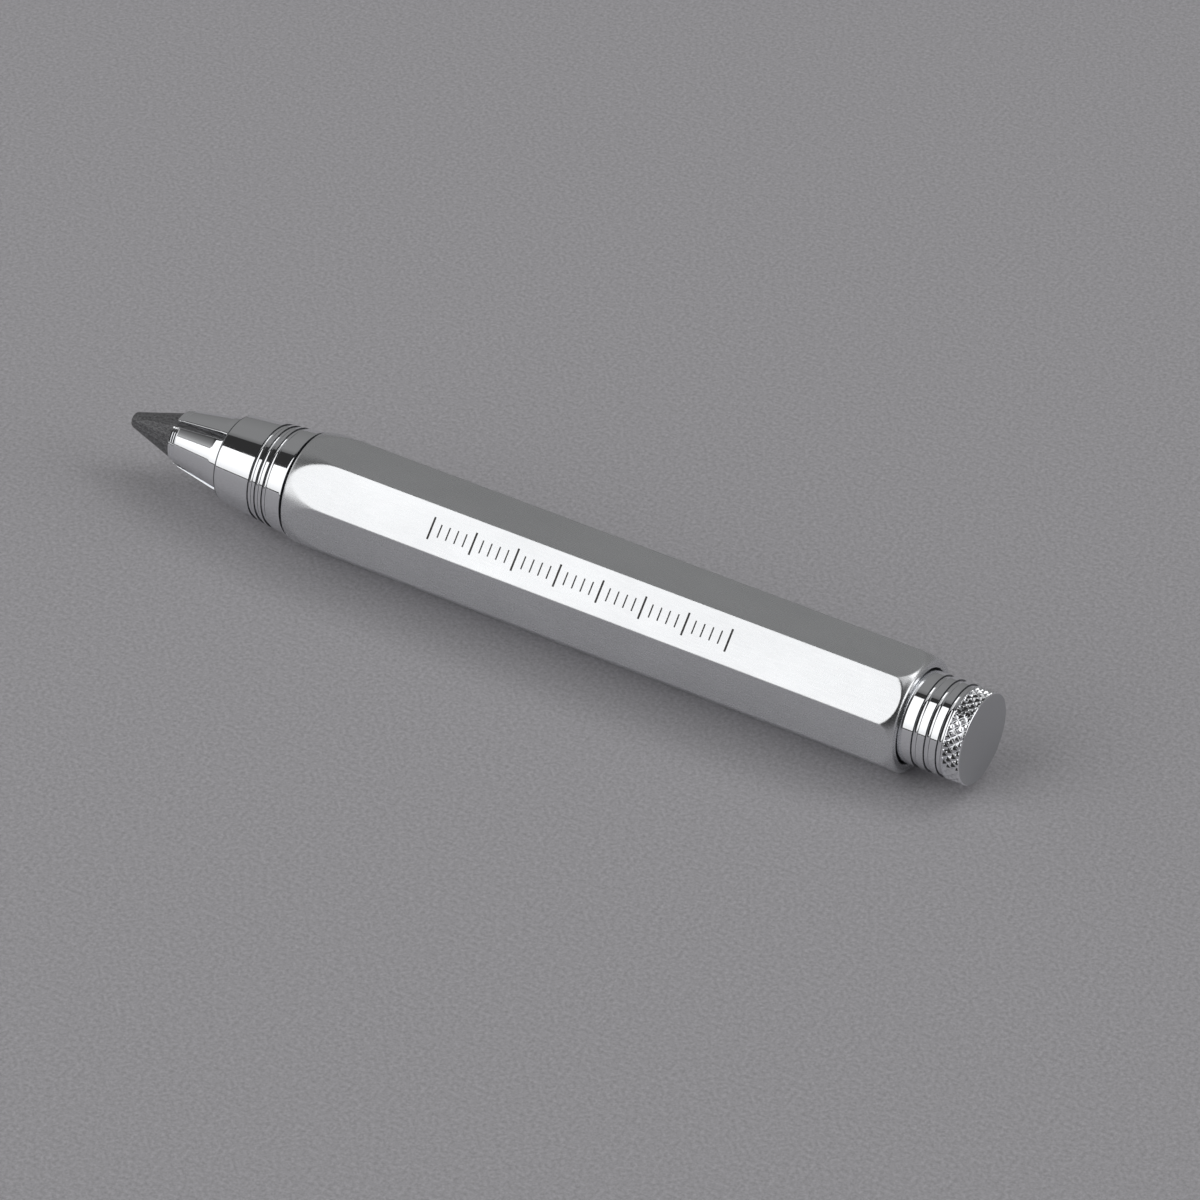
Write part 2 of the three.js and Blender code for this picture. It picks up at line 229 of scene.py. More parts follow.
def outward(mesh):
    """Turns the faces of a closed mesh outwards."""
    work = bmesh.new()
    work.from_mesh(mesh)
    bmesh.ops.recalc_face_normals(work, faces=work.faces)
    work.to_mesh(mesh)
    work.free()


def shade(mesh, sharp_from=40):
    """Smooth shading that breaks at edges sharper than the given angle, in degrees."""
    work = bmesh.new()
    work.from_mesh(mesh)
    limit = math.radians(sharp_from)
    for face in work.faces:
        face.smooth = True
    for edge in work.edges:
        edge.smooth = edge.calc_face_angle(0) < limit
    work.to_mesh(mesh)
    work.free()


def make_piece(name, shape, body, material, nodes, sharp_from=40):
    """A shown piece from (verts, faces) in millimetres about the pencil's axis."""
    verts, faces = shape
    mesh = bpy.data.meshes.new(name)
    mesh.from_pydata([(x * MM, y * MM, z * MM + AXIS_Z) for x, y, z in verts], [], faces)
    mesh.validate()
    outward(mesh)
    shade(mesh, sharp_from)
    mesh.materials.append(material)
    piece = bpy.data.objects.new(name, mesh)
    bpy.context.scene.collection.objects.link(piece)
    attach(piece, body)
    if nodes:
        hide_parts(*nodes)
    return piece


def repaint(piece, material, chosen):
    """Gives a second material to the faces for which chosen(face) holds."""
    piece.data.materials.append(material)
    slot = len(piece.data.materials) - 1
    for face in piece.data.polygons:
        if chosen(face):
            face.material_index = slot


def steep(face):
    """A face that looks mostly along the pencil."""
    return abs(face.normal.x) > 0.72


def cut_boxes(piece, boxes, sharp_from=40):
    """Cuts boxes out of a piece. Each box is (centre, size) in millimetres about the axis."""
    for centre, size in boxes:
        cutter_mesh = bpy.data.meshes.new("cutter")
        work = bmesh.new()
        place = Matrix.Translation(Vector(centre) * MM + Vector((0, 0, AXIS_Z)))
        bmesh.ops.create_cube(work, size=1, matrix=place @ Matrix.Diagonal((*(Vector(size) * MM), 1)))
        work.to_mesh(cutter_mesh)
        work.free()
        cutter = bpy.data.objects.new("cutter", cutter_mesh)
        bpy.context.scene.collection.objects.link(cutter)
        cut = piece.modifiers.new("cut", "BOOLEAN")
        cut.operation = "DIFFERENCE"
        cut.solver = "EXACT"
        cut.object = cutter
        bpy.context.view_layer.update()
        done = bpy.data.meshes.new_from_object(piece.evaluated_get(bpy.context.evaluated_depsgraph_get()))
        piece.modifiers.remove(cut)
        piece.data = done
        bpy.data.objects.remove(cutter)
    shade(piece.data, sharp_from)
    return piece


# ---- materials ----

def new_material(name, colour, roughness, metallic):
    """A material and its shader, with the values that are the same all over it."""
    material = bpy.data.materials.new(name)
    material.use_nodes = True
    nodes = material.node_tree.nodes
    shader = nodes["Principled BSDF"]
    shader.inputs["Base Color"].default_value = (*colour, 1)
    shader.inputs["Roughness"].default_value = roughness
    shader.inputs["Metallic"].default_value = metallic
    return material, shader


def node(material, kind, **inputs):
    """A new node with its inputs set. An underscore stands for a space in an input's name."""
    made = material.node_tree.nodes.new(kind)
    for key, value in inputs.items():
        made.inputs[key.replace("_", " ")].default_value = value
    return made


def noise(material, scale, stretch=(1, 1, 1), detail=4.0, rough=0.55):
    """Noise in the piece's own space. scale is in features per millimetre."""
    tree = material.node_tree
    coords = tree.nodes.new("ShaderNodeTexCoord")
    mapping = tree.nodes.new("ShaderNodeMapping")
    mapping.inputs["Scale"].default_value = [s / MM for s in stretch]
    texture = node(material, "ShaderNodeTexNoise", Scale=scale, Detail=detail, Roughness=rough)
    tree.links.new(coords.outputs["Object"], mapping.inputs["Vector"])
    tree.links.new(mapping.outputs["Vector"], texture.inputs["Vector"])
    return texture.outputs["Fac"]


def spread(material, value, low, high, start=0.3, end=0.7):
    """Maps a noise value to the range low to high."""
    made = material.node_tree.nodes.new("ShaderNodeMapRange")
    for key, number in (("From Min", start), ("From Max", end), ("To Min", low), ("To Max", high)):
        made.inputs[key].default_value = number
    material.node_tree.links.new(value, made.inputs["Value"])
    return made.outputs["Result"]


def tint(material, value, dark, light, start=0.3, end=0.7):
    """Colour that runs from dark to light with a noise value."""
    ramp = material.node_tree.nodes.new("ShaderNodeValToRGB")
    ramp.color_ramp.elements[0].position = start
    ramp.color_ramp.elements[1].position = end
    ramp.color_ramp.elements[0].color = (*dark, 1)
    ramp.color_ramp.elements[1].color = (*light, 1)
    material.node_tree.links.new(value, ramp.inputs["Fac"])
    return ramp.outputs["Color"]


def bump(material, shader, value, height, strength=1.0):
    """Fine relief. height is in millimetres."""
    made = node(material, "ShaderNodeBump", Strength=strength, Distance=height * MM)
    material.node_tree.links.new(value, made.inputs["Height"])
    material.node_tree.links.new(made.outputs["Normal"], shader.inputs["Normal"])
    return made


def link(material, value, shader, socket):
    material.node_tree.links.new(value, shader.inputs[socket])


def satin_chrome():
    """Barrel: plated metal with a fine grain along the pencil and faint handling marks."""
    material, shader = new_material("satin_chrome", (0.80, 0.81, 0.825), 0.27, 1)
    grain = noise(material, 8, (0.08, 1, 1), detail=4)
    marks = noise(material, 0.22, (0.5, 1, 1), detail=3)
    link(material, tint(material, marks, (0.77, 0.78, 0.795), (0.83, 0.84, 0.855)), shader, "Base Color")
    link(material, spread(material, grain, 0.25, 0.3), shader, "Roughness")
    bump(material, shader, grain, 0.0003, 0.3)
    return material


def polished_chrome():
    """Nose, jaws and button: mirror plating with barely visible wiping marks."""
    material, shader = new_material("polished_chrome", (0.90, 0.91, 0.93), 0.04, 1)
    haze = noise(material, 1.2, (0.4, 1, 1), detail=4)
    link(material, spread(material, haze, 0.025, 0.07), shader, "Roughness")
    bump(material, shader, noise(material, 0.7, detail=2), 0.0008, 0.4)
    return material


def blasted_chrome():
    """The button's end face: plated over a fine blasted surface."""
    material, shader = new_material("blasted_chrome", (0.6, 0.61, 0.625), 0.42, 1)
    grit = noise(material, 9, detail=5)
    link(material, spread(material, grit, 0.36, 0.5), shader, "Roughness")
    bump(material, shader, grit, 0.004, 0.5)
    return material


def painted_shade_chrome():
    """Painted shade: a darker chrome colour for the steep walls of the grooves, standing in for the shade
    that falls in them, so that they look darker than the lands.
    """
    material, shader = new_material("painted_shade_chrome", (0.2, 0.205, 0.215), 0.3, 1)
    # The noise only varies the painted shade's tone and roughness at random.
    shade_mottle = noise(material, 4, detail=4)
    link(material, tint(material, shade_mottle, (0.13, 0.135, 0.145), (0.28, 0.285, 0.295)), shader, "Base Color")
    link(material, spread(material, shade_mottle, 0.24, 0.4), shader, "Roughness")
    return material


def brass():
    """Inner pieces: turned brass with rings left by the tool."""
    material, shader = new_material("turned_brass", (0.78, 0.58, 0.27), 0.26, 1)
    rings = noise(material, 5, (1, 0.03, 0.03), detail=3)
    patina = noise(material, 0.5, detail=4)
    link(material, tint(material, patina, (0.66, 0.47, 0.21), (0.82, 0.63, 0.32)), shader, "Base Color")
    link(material, spread(material, rings, 0.2, 0.36), shader, "Roughness")
    bump(material, shader, rings, 0.003, 0.5)
    return material


def spring_steel():
    """Spring, washers and snap ring: drawn steel with lengthwise die lines."""
    material, shader = new_material("spring_steel", (0.60, 0.61, 0.63), 0.28, 1)
    drawn = noise(material, 3, (1, 0.4, 0.4), detail=4)
    link(material, tint(material, drawn, (0.5, 0.505, 0.52), (0.68, 0.69, 0.71)), shader, "Base Color")
    link(material, spread(material, drawn, 0.2, 0.36), shader, "Roughness")
    bump(material, shader, drawn, 0.002, 0.4)
    return material


def tool_steel():
    """Lead pointer: hardened steel, darker, with grinding marks round it."""
    material, shader = new_material("tool_steel", (0.34, 0.35, 0.37), 0.32, 1)
    ground = noise(material, 6, (1, 0.1, 0.1), detail=4)
    link(material, tint(material, ground, (0.27, 0.28, 0.3), (0.42, 0.43, 0.45)), shader, "Base Color")
    link(material, spread(material, ground, 0.25, 0.42), shader, "Roughness")
    bump(material, shader, ground, 0.003, 0.5)
    return material


def graphite():
    """The lead: dark grey with a sheen, streaked lengthwise where it was sharpened."""
    material, shader = new_material("graphite", (0.11, 0.11, 0.115), 0.42, 0.35)
    streaks = noise(material, 9, (0.16, 1, 1), detail=5, rough=0.75)
    grain = noise(material, 9, detail=5, rough=0.7)
    colour = tint(material, streaks, (0.045, 0.045, 0.047), (0.27, 0.27, 0.28), 0.36, 0.64)
    link(material, colour, shader, "Base Color")
    link(material, spread(material, grain, 0.34, 0.56), shader, "Roughness")
    relief = bump(material, shader, streaks, 0.03, 0.6)
    fine = bump(material, shader, grain, 0.012, 0.5)
    link(material, relief.outputs["Normal"], fine, "Normal")
    return material


def blackened():
    """Laser-blackened marks in the plating."""
    material, shader = new_material("blackened_marks", (0.05, 0.048, 0.047), 0.5, 0.5)
    burn = noise(material, 12, detail=4)
    link(material, tint(material, burn, (0.035, 0.033, 0.032), (0.09, 0.086, 0.083)), shader, "Base Color")
    link(material, spread(material, burn, 0.42, 0.6), shader, "Roughness")
    return material


def paper():
    """The studio floor: pale grey card with a faint fibrous tooth."""
    material, shader = new_material("grey_card", (0.575, 0.564, 0.591), 0.85, 0)
    fibres = noise(material, 2.4, detail=3, rough=0.75)
    link(material, tint(material, fibres, (0.453, 0.445, 0.466), (0.697, 0.683, 0.716)), shader, "Base Color")
    bump(material, shader, noise(material, 1.3, detail=4, rough=0.7), 0.06, 0.3)
    return material


SATIN = satin_chrome()
CHROME = polished_chrome()
BLASTED = blasted_chrome()
# Painted shade for the grooves' steep walls and the front of the nose's mouth.
PAINTED_SHADE = painted_shade_chrome()
BRASS = brass()
SPRING = spring_steel()
TOOL = tool_steel()
GRAPHITE = graphite()
BLACK = blackened()


# ---- barrel ----

def octagon_radius(angle):
    """Distance from the axis to the eight-sided section, whose corners are slightly rounded."""
    off = (angle % (2 * CORNER)) - CORNER
    centre = (APOTHEM - CORNER_ROUND) / math.cos(CORNER)
    edge = math.atan2(CORNER_ROUND * math.sin(CORNER), centre + CORNER_ROUND * math.cos(CORNER))
    if abs(off) < edge:
        return centre * math.cos(off) + math.sqrt(CORNER_ROUND ** 2 - (centre * math.sin(off)) ** 2)
    return APOTHEM / math.cos(CORNER - abs(off))


def octagon_angles():
    """Angles that are close together over each rounded corner and wider apart on the flats."""
    near = [math.radians(a) for a in (0, 0.4, 0.8, 1.2, 1.7)]
    wide = [math.radians(3 + 19.5 * i / 12) for i in range(12)]
    half = near + wide
    angles = []
    for corner in range(8):
        middle = CORNER + corner * 2 * CORNER
        angles += [middle - a for a in reversed(half[1:])]
        angles += [middle + a for a in half]
        angles.append(middle + CORNER)
    return angles


def soft_least(a, b, width=0.05):
    """The smaller of two radii, with the change from one to the other rounded."""
    share = min(max(0.5 + 0.5 * (b - a) / width, 0), 1)
    return b * (1 - share) + a * share - width * share * (1 - share)


def barrel_outline():
    """The turned outline: long front shoulder, tight rear shoulder, and the stepped bore. It stays
    clear of the section's corners between the shoulders, where the eight flats set the shape."""
    shoulder_size, reach = 30, 5
    sweep = math.degrees(math.asin(reach / shoulder_size))
    shoulder_end = BARREL_FRONT + 6.01
    front = arc(shoulder_end, CORNER_RADIUS - shoulder_size, shoulder_size, 90 + sweep, 90, 44)
    start_r = front[0][1] - math.tan(math.radians(sweep)) * (front[0][0] - BARREL_FRONT)
    rear_size, rear_reach = 3, 1.95
    rear_start = BARREL_REAR - rear_reach
    rear_sweep = math.degrees(math.asin(rear_reach / rear_size))
    rear = arc(rear_start, CORNER_RADIUS - rear_size, rear_size, 90, 90 - rear_sweep, 34)
    clear = CORNER_RADIUS + 0.2
    outside = line((BARREL_FRONT, start_r), front[0], 8)[1:] + front
    outside += line((shoulder_end + 0.5, clear), (rear_start - 0.5, clear), 12)
    outside += [(rear_start - 0.3, CORNER_RADIUS + 0.1)] + rear[:-1]
    lip = [(BARREL_FRONT, SEAT_BORE + 0.1), (BARREL_FRONT, start_r - 0.12),
           (BARREL_FRONT + 0.04, start_r - 0.04), (BARREL_FRONT + 0.12, start_r + 0.01)]
    rim_r = rear[-1][1]
    outside = [point for point in outside if BARREL_FRONT + 0.2 < point[0] < BARREL_REAR - 0.16]
    rim = [(BARREL_REAR - 0.13, rim_r + 0.11), (BARREL_REAR - 0.05, rim_r),
           (BARREL_REAR - 0.01, rim_r - 0.08), (BARREL_REAR, rim_r - 0.17), (BARREL_REAR, rim_r - 0.22)]
    mouth = [(BARREL_REAR, REAR_BORE + 0.2), (BARREL_REAR, REAR_BORE + 0.15),
             (BARREL_REAR - 0.04, REAR_BORE + 0.05), (BARREL_REAR - 0.14, REAR_BORE)]
    bore_step = BARREL_FRONT + 59.05
    seat = SPIGOT_END + 0.15
    inside = [(bore_step, REAR_BORE), (bore_step, MAIN_BORE), (seat, MAIN_BORE), (seat, SEAT_BORE),
              (BARREL_FRONT, SEAT_BORE)]
    return lip + outside + rim + mouth + inside


def barrel():
    """The eight-sided shell, turned down at both ends."""
    angles = octagon_angles()
    shape = grid_mesh(barrel_outline(), angles, lambda x, r, a: soft_least(octagon_radius(a), r))
    return make_piece("barrel_shell", shape, "holder", SATIN, ["barrel"], 50)


def engraved_scale():
    """Fine tick marks along the upper front flat, a millimetre apart, with longer ones at fives."""
    depth, proud = 0.05, 0.006
    facing = math.radians(135)
    out = Vector((0, math.cos(facing), math.sin(facing)))
    across = Vector((0, -math.sin(facing), math.cos(facing)))
    verts, faces = [], []
    for tick in range(TICK_COUNT):
        length, half = SHORT_TICK if tick % LONG_TICK_EVERY else LONG_TICK
        middle = TICKS_START + tick
        first = len(verts)
        for high in (APOTHEM - depth, APOTHEM + proud):
            for along, side in ((-half, -0.5), (half, -0.5), (half, 0.5), (-half, 0.5)):
                point = out * high + across * (side * length)
                verts.append((middle + along, point.y, point.z))
        box = ((3, 2, 1, 0), (4, 5, 6, 7), (0, 1, 5, 4), (1, 2, 6, 5), (2, 3, 7, 6), (3, 0, 4, 7))
        faces += [[first + i for i in face] for face in box]
    return make_piece("engraved_scale", (verts, faces), "holder", BLACK, [], 30)


# ---- nose ----

def nose_surface(x):
    """Outer radius of the nose's cone."""
    return NOSE_MOUTH_RADIUS + NOSE_SLOPE * (x - NOSE_MOUTH)


def nose_sleeve():
    """The polished nose: a rounded mouth, three grooves and the spigot that enters the barrel."""
    rear = BARREL_FRONT - 0.3
    edge_end = NOSE_MOUTH + NOSE_MOUTH_EDGE
    cone_start = NOSE_MOUTH + 1.2 * NOSE_MOUTH_EDGE
    outside = [
        *arc(edge_end, nose_surface(edge_end) - NOSE_MOUTH_EDGE, NOSE_MOUTH_EDGE, 180, 94, 12),
        (cone_start, nose_surface(cone_start)),
        *grooves(NOSE_GROOVES, 0.6, 0.3, nose_surface),
        (rear - 0.2, nose_surface(rear - 0.2)),
        (rear - 0.15, nose_surface(rear - 0.15)),
        (rear - 0.05, nose_surface(rear) - 0.03),
        (rear, nose_surface(rear) - 0.12),
    ]
    inside = [
        (rear, SPIGOT_RADIUS),
        (SPIGOT_END, SPIGOT_RADIUS),
        (SPIGOT_END, 4.3),
        (NOSE_MOUTH + 4.05, 4.3),
        (NOSE_MOUTH + 3.25, 3.7),
        (NOSE_MOUTH + 2.45, 3.7),
        (NOSE_MOUTH, 4.13),
    ]
    shape = grid_mesh(outside + soften(inside, 0.06), even_angles(FINE))
    sleeve = make_piece("nose_sleeve", shape, "holder", CHROME, ["front_sleeve"])
    mouth_end = edge_end * MM

    # Painted shade: the grooves' steep walls and the front-facing faces of the mouth's rounding get the
    # darker chrome.
    def painted_shade_faces(face):
        return steep(face) or (face.center.x < mouth_end and face.normal.x < -0.25)

    repaint(sleeve, PAINTED_SHADE, painted_shade_faces)
    return sleeve


# ---- clutch jaws ----

def jaw_outside(x):
    """Outer radius of the clutch's head: machined lip, cone, land and clamping cone."""
    points = [
        (JAW_LIP, 2.93), (JAW_LIP + LIP_LENGTH, 3.2), (JAW_LIP + 5.6, 4.06), (JAW_LIP + 5.85, 4.1),
        (JAW_LIP + 6.6, 4.1), (JAW_LIP + 9.8, JAW_NECK), (JAW_ROOT + 1, JAW_NECK),
    ]
    for (x0, r0), (x1, r1) in zip(points, points[1:]):
        if x <= x1:
            base = r0 + (r1 - r0) * (x - x0) / (x1 - x0)
            break
    lip_share = (x - JAW_LIP) / LIP_LENGTH
    return base - (LIP_RIDGE_DEPTH * tooth_wave(lip_share * LIP_RIDGES) if lip_share < 1 else 0)


def jaw_inside(x):
    """Inner radius: a flared mouth, teeth like a thread that grip the lead, and a clear bore."""
    along = (x - JAW_TEETH_START) / JAW_TOOTH_PITCH
    if x < JAW_TEETH_START:
        return 2.9 - 0.17 * (x - JAW_LIP)
    if along < JAW_TEETH:
        return 2.84 + 0.18 * tooth_wave(along)
    return TUBE_BORE


def jaw_section(x):
    """Points round one jaw's section, in the quarter between two slits. The long outer edges
    are rounded."""
    half, edge = SLIT_WIDTH / 2, 0.09
    outer, inner = jaw_outside(x), jaw_inside(x)
    if outer - inner < 2.5 * edge:
        edge = (outer - inner) / 2.5
    centre = Vector((half + edge, math.sqrt((outer - edge) ** 2 - (half + edge) ** 2)))
    lean = math.atan2(centre.y, centre.x)
    first = []
    for step in range(5):
        angle = math.pi + (lean - math.pi) * step / 4
        first.append((centre.x + edge * math.cos(angle), centre.y + edge * math.sin(angle)))
    round_steps = 26
    middle = []
    for step in range(1, round_steps):
        angle = lean + (math.pi / 2 - 2 * lean) * step / round_steps
        middle.append((outer * math.cos(angle), outer * math.sin(angle)))
    last = [(up, side) for side, up in reversed(first)]
    inner_start = math.asin(half / inner)
    bore = []
    for step in range(round_steps + 1):
        angle = inner_start + (math.pi / 2 - 2 * inner_start) * step / round_steps
        bore.append((inner * math.cos(angle), inner * math.sin(angle)))
    return first + middle + last + bore


def jaw(index):
    """One of the four jaws: its sections joined along the pencil, and closed at both ends."""
    stations = [JAW_LIP + 0.05 * i for i in range(19)]
    stations += [JAW_LIP + 0.95 + 0.075 * i for i in range(68)]
    stations += [JAW_LIP + 6.1 + 0.3 * i for i in range(21)] + [JAW_ROOT]
    turn = SLIT_ANGLE + index * TURN / 4
    cos, sin = math.cos(turn), math.sin(turn)
    verts, faces = [], []
    for x in stations:
        verts += [(x, y * cos - z * sin, y * sin + z * cos) for y, z in jaw_section(x)]
    around = len(verts) // len(stations)
    for row in range(len(stations) - 1):
        for i in range(around):
            j = (i + 1) % around
            base = row * around
            faces.append((base + i, base + j, base + around + j, base + around + i))
    half = around // 2
    for first in (0, (len(stations) - 1) * around):
        for i in range(half - 1):
            faces.append((first + i, first + i + 1, first + around - 2 - i, first + around - 1 - i))
    name = f"jaw_{index + 1}"
    return make_piece(f"clutch_{name}", (verts, faces), name, CHROME,
                      [f"collet_{name}"], 30)


# ---- lead ----

def lead_radius(x, r, angle):
    """The sharpened cone is cut in narrow flats of uneven width; the rest is drawn smooth."""
    cone = min(max((LEAD_TIP + 7.2 - x) / 1.2, 0), 1)
    flats = (
        0.030 * math.sin(7 * angle + 0.6)
        + 0.022 * math.sin(13 * angle + 1.9 + 0.25 * (x - LEAD_TIP))
        + 0.012 * math.sin(29 * angle + 0.3)
    )
    return r - cone * (0.05 + flats * min(r, 1.6) / 1.6) * 0.8


def lead():
    """The sharpened lead, with a worn, rounded tip."""
    slope, tip_r = 0.3, 0.82
    cone_end = LEAD_TIP + (LEAD_RADIUS - tip_r) / slope
    tip = [(LEAD_TIP, 0), (LEAD_TIP + 0.01, 0.3), (LEAD_TIP + 0.05, 0.58), (LEAD_TIP + 0.16, 0.8)]
    cone = line((LEAD_TIP + 0.3, tip_r + slope * 0.3), (cone_end, LEAD_RADIUS), 40)
    back = [(cone_end, LEAD_RADIUS), (cone_end + 0.6, LEAD_RADIUS), (LEAD_REAR - 0.2, LEAD_RADIUS),
            (LEAD_REAR - 0.06, LEAD_RADIUS - 0.06), (LEAD_REAR, LEAD_RADIUS - 0.2), (LEAD_REAR, 0)]
    shape = grid_mesh(tip + cone + back, even_angles(FINE), lead_radius)
    return make_piece("graphite_lead", shape, "lead", GRAPHITE, ["lead"], 50)


# ---- push button ----

def button_radius(x, r, angle):
    """Diamond knurl on the last band, and the thread inside the skirt."""
    if r > BUTTON_RADIUS - 0.06 and KNURL_FRONT < x < KNURL_REAR:
        around = angle / TURN * KNURL_STARTS
        along = (x - KNURL_FRONT) / KNURL_PITCH
        height = min(tooth_wave(around + along), tooth_wave(around - along), KNURL_CREST)
        fade = min((x - KNURL_FRONT) / KNURL_FADE, (KNURL_REAR - x) / KNURL_FADE, 1)
        return r - KNURL_DEPTH * (1 - height / KNURL_CREST) * fade
    if SKIRT_BORE - 0.01 < r < SKIRT_BORE + 0.01 and x > BUTTON_FRONT + 0.3:
        return r + 0.2 * tooth_wave((x - BUTTON_FRONT) / THREAD_PITCH - angle / TURN)
    return r


def push_button():
    """The cap: grooves, knurled band and flat end outside, pointer pocket and thread inside."""
    turned = grooves(BUTTON_GROOVES, 0.62, 0.32, lambda x: BUTTON_RADIUS)
    skirt_edge = [(BUTTON_FRONT, BUTTON_RADIUS - 0.12), (BUTTON_FRONT + 0.12, BUTTON_RADIUS),
                  (BUTTON_FRONT + 0.2, BUTTON_RADIUS)]
    row = KNURL_PITCH / KNURL_STEPS
    rows = int((KNURL_REAR - KNURL_FRONT) / row)
    band = [(KNURL_FRONT + row * i, BUTTON_RADIUS) for i in range(rows + 1)]
    rim = [(KNURL_REAR, BUTTON_RADIUS), (BUTTON_END - 0.02, BUTTON_RADIUS - 0.05),
           (BUTTON_END, BUTTON_RADIUS - 0.1)]
    face = [(BUTTON_END, BUTTON_RADIUS * share) for share in (0.97, 0.9, 0.6, 0.3)] + [(BUTTON_END, 0)]
    seat = POINTER_REAR + 0.1
    step = POINTER_FRONT - 0.1
    pocket = [(seat, 0), (seat, 2), (seat, 3.93), (step, 3.93), (step, SKIRT_BORE)]
    thread = line((step - 0.8, SKIRT_BORE), (BUTTON_FRONT, SKIRT_BORE), 46)
    outline = pocket + thread + skirt_edge + turned + band + rim + face
    shape = grid_mesh(outline, even_angles(KNURL_STARTS * KNURL_STEPS), button_radius)
    button = make_piece("button_cap", shape, "button", CHROME, ["push_button"], 35)
    knurl = KNURL_FRONT * MM
    # Painted shade: the grooves' steep walls in front of the knurl get the darker chrome.
    repaint(button, PAINTED_SHADE, lambda face: steep(face) and face.center.x < knurl)
    repaint(button, BLASTED, lambda face: face.normal.x > 0.98 and face.center.x > knurl)
    return button


def lead_pointer():
    """Sharpener insert: a cone the shape of a pointed lead, open at two cutting slots."""
    depth = POINTER_REAR - POINTER_FRONT
    outline = [
        (POINTER_FRONT, TUBE_BORE),
        (POINTER_FRONT, 3.9),
        (POINTER_REAR, 3.9),
        (POINTER_REAR, TUBE_BORE - 0.3 * depth),
    ]
    shape = grid_mesh(soften(outline, 0.12), even_angles(MEDIUM))
    piece = make_piece("pointer_insert", shape, "button", TOOL, ["lead_pointer"])
    slot_length = depth - 1.2
    return cut_boxes(piece, [((POINTER_FRONT, 0, 0), (2 * slot_length, 12, 0.6))])


# ---- pieces inside ----

def turned_ring(name, node_name, body, material, inner, edge=0.08):
    """A plain turned ring that fills its CAD node's length and outer radius."""
    front, rear = span(node_name)
    outer = widest(node_name)
    outline = soften([(front, inner), (front, outer), (rear, outer), (rear, inner)], edge)
    return make_piece(name, grid_mesh(outline, even_angles(MEDIUM)), body, material, [node_name])


def clutch_body():
    """The clutch behind its jaws: a neck, and a socket that the lead tube fits into."""
    socket = TUBE_FRONT - 0.1
    outline = [
        (BODY_FRONT, TUBE_BORE), (BODY_FRONT, JAW_NECK), (socket - 0.5, JAW_NECK), (socket - 0.1, 4),
        (BODY_REAR, 4), (BODY_REAR, TUBE_RADIUS + 0.03), (socket, TUBE_RADIUS + 0.03), (socket, TUBE_BORE),
    ]
    shape = grid_mesh(soften(outline, 0.1), even_angles(MEDIUM))
    return make_piece("clutch_carrier", shape, "clutch", BRASS, ["collet_body"])


def lead_tube():
    """The tube that holds the lead, with a groove for the snap ring."""
    ring_front, ring_rear = span("retaining_ring")
    groove_front, groove_rear = ring_front - 0.05, ring_rear + 0.05
    outline = [
        (TUBE_FRONT, TUBE_BORE), (TUBE_FRONT, TUBE_RADIUS), (groove_front, TUBE_RADIUS),
        (groove_front, TUBE_RADIUS - 0.2), (groove_rear, TUBE_RADIUS - 0.2), (groove_rear, TUBE_RADIUS),
        (TUBE_REAR, TUBE_RADIUS), (TUBE_REAR, TUBE_BORE),
    ]
    shape = grid_mesh(soften(outline, 0.06), even_angles(MEDIUM))
    return make_piece("lead_tube", shape, "clutch", BRASS, ["inner_tube"])


def snap_ring():
    """The snap ring: a ring with a gap at one side."""
    piece = turned_ring("snap_ring", "retaining_ring", "clutch", SPRING,
                        TUBE_RADIUS - 0.17, 0.06)
    front = span("retaining_ring")[0]
    return cut_boxes(piece, [((front, 4.05, 0), (4, 4.05, 2.4))])


def threaded_bush():
    """The bush on the tube's rear end, with a screw thread outside."""
    front, rear = span("tube_end_bush")
    crest = SKIRT_BORE - 0.03

    def thread(x, r, angle):
        if r < crest - 0.05 or not front + 0.1 < x < rear - 0.1:
            return r
        fade = min((x - front - 0.1) / 0.3, (rear - 0.1 - x) / 0.3, 1)
        return r - 0.25 * fade * (1 - tooth_wave((x - front) / THREAD_PITCH - angle / TURN))

    outline = [(front, TUBE_RADIUS + 0.03), (front, crest - 0.1)]
    outline += line((front + 0.1, crest), (rear - 0.1, crest), 40)
    outline += [(rear - 0.1, crest), (rear, crest - 0.1), (rear, TUBE_RADIUS + 0.03)]
    shape = grid_mesh(outline, even_angles(MEDIUM), thread)
    return make_piece("threaded_bush", shape, "clutch", BRASS, ["tube_end_bush"])


def coil_spring():
    """A compression spring with its end turns wound close."""
    front, rear = span("return_spring")
    rings, sides = SPRING_TURNS * 40, 12
    end = CLOSED_TURNS / SPRING_TURNS
    verts, faces = [], []
    for ring in range(rings + 1):
        t = ring / rings
        if t < end:
            share = CLOSED_SHARE * t / end
        elif t > 1 - end:
            share = 1 - CLOSED_SHARE * (1 - t) / end
        else:
            share = CLOSED_SHARE + (1 - 2 * CLOSED_SHARE) * (t - end) / (1 - 2 * end)
        x = front + SPRING_WIRE + (rear - front - 2 * SPRING_WIRE) * share
        angle = TURN * SPRING_TURNS * t
        for side in range(sides):
            lean = TURN * side / sides
            r = SPRING_RADIUS + SPRING_WIRE * math.cos(lean)
            verts.append((x + SPRING_WIRE * math.sin(lean), r * math.cos(angle), r * math.sin(angle)))
    for ring in range(rings):
        for side in range(sides):
            other = (side + 1) % sides
            base = ring * sides
            faces.append((base + side, base + other, base + sides + other, base + sides + side))
    faces.append(tuple(range(sides)))
    faces.append(tuple(rings * sides + side for side in range(sides)))
    spring = make_piece("coil_spring", (verts, faces), "holder", SPRING, ["return_spring"])
    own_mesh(spring)
    return spring


